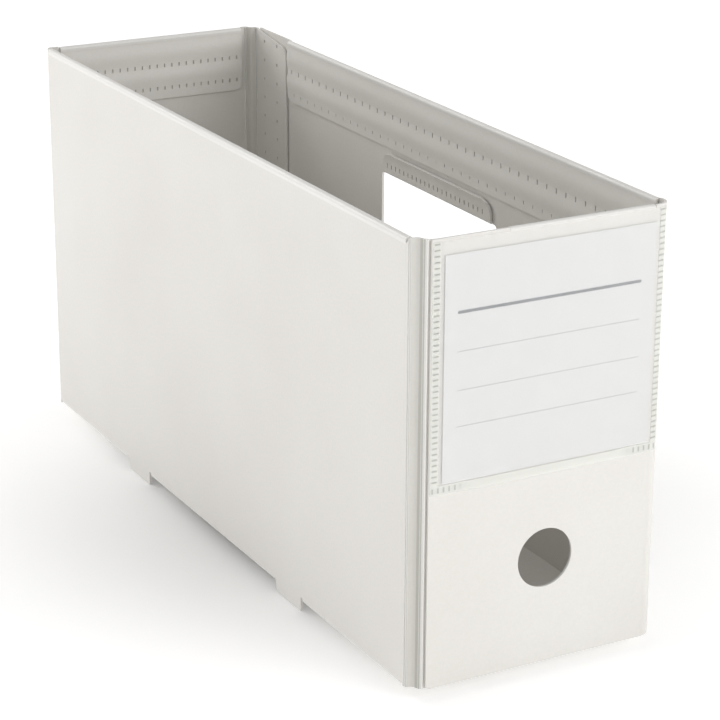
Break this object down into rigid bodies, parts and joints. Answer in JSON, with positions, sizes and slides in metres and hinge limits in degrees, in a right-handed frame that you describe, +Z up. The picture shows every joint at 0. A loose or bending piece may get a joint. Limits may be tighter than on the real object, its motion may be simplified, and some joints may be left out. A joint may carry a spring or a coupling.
{
  "type": "magazine file holder",
  "caption": "Folding open-top document box in thin plastic sheet, with a label pocket and finger hole in front, a grip window in one side and a swing-down bottom.",
  "frame": {"origin": "on the standing surface, under the centre of the box's outline", "axes": "+Z up, -Y towards the label and finger hole, +X towards the grip window"},
  "size_m": [0.1, 0.321, 0.166],
  "materials": {
    "polypropylene": "fine matte texture, off-white",
    "crease_plastic": "pressed crease, slightly glossier, off-white",
    "clear_film": "clear glossy film",
    "card_paper": "uncoated white paper"
  },
  "bodies": {
    "left_wall": {"left_panel": "polypropylene", "left_hem": "polypropylene", "front_left_crease": "crease_plastic", "back_left_crease": "crease_plastic", "bottom_crease_1": "crease_plastic", "bottom_crease_2": "crease_plastic", "bottom_crease_3": "crease_plastic"},
    "front_strip": {"front_left_strip": "polypropylene", "front_flap_crease": "crease_plastic"},
    "front_wall": {"front_panel": "polypropylene", "front_hem": "polypropylene", "front_weld_flap": "polypropylene", "label_pocket": "clear_film", "front_right_crease": "crease_plastic"},
    "right_wall": {"right_panel": "polypropylene", "right_hem": "polypropylene", "grip_flap": "polypropylene", "back_weld_flap": "polypropylene", "back_flap_crease": "crease_plastic"},
    "back_wall": {"back_panel": "polypropylene", "back_hem": "polypropylene", "back_strip_crease": "crease_plastic"},
    "back_strip": {"back_right_strip": "polypropylene"},
    "bottom": {"bottom_plate": "polypropylene"},
    "card": {"label_card": "card_paper"}
  },
  "joints": [
    {"name": "front_left_fold", "type": "hinge", "parent": "left_wall", "child": "front_strip", "pos_m": [-0.0495, -0.15365, 0.085], "axis": [0, 0, 1], "range_deg": [0, 45]},
    {"name": "front_flap_fold", "type": "hinge", "parent": "front_strip", "child": "front_wall", "pos_m": [-0.0455, -0.15765, 0.085], "axis": [0, 0, 1], "range_deg": [0, 45]},
    {"name": "front_right_fold", "type": "hinge", "parent": "front_wall", "child": "right_wall", "pos_m": [0.0482, -0.15765, 0.085], "axis": [0, 0, -1], "range_deg": [0, 90]},
    {"name": "back_left_fold", "type": "hinge", "parent": "left_wall", "child": "back_wall", "pos_m": [-0.0495, 0.16005, 0.085], "axis": [0, 0, 1], "range_deg": [0, 90]},
    {"name": "back_strip_fold", "type": "hinge", "parent": "back_wall", "child": "back_strip", "pos_m": [0.0442, 0.16005, 0.085], "axis": [0, 0, -1], "range_deg": [0, 45]},
    {"name": "bottom_fold", "type": "hinge", "parent": "left_wall", "child": "bottom", "pos_m": [-0.0495, 0, 0.0045], "axis": [0, 1, 0], "range_deg": [0, 90]},
    {"name": "card_slide", "type": "slide", "parent": "front_wall", "child": "card", "axis": [0, 0, 1], "range_m": [0, 0.086]}
  ],
  "couplings": [
    {"joint": "front_left_fold", "follows": "back_left_fold", "ratio": 0.5},
    {"joint": "front_flap_fold", "follows": "back_left_fold", "ratio": 0.5},
    {"joint": "front_right_fold", "follows": "back_left_fold", "ratio": 1},
    {"joint": "back_strip_fold", "follows": "back_left_fold", "ratio": 0.5},
    {"joint": "bottom_fold", "follows": "back_left_fold", "ratio": 1}
  ]
}
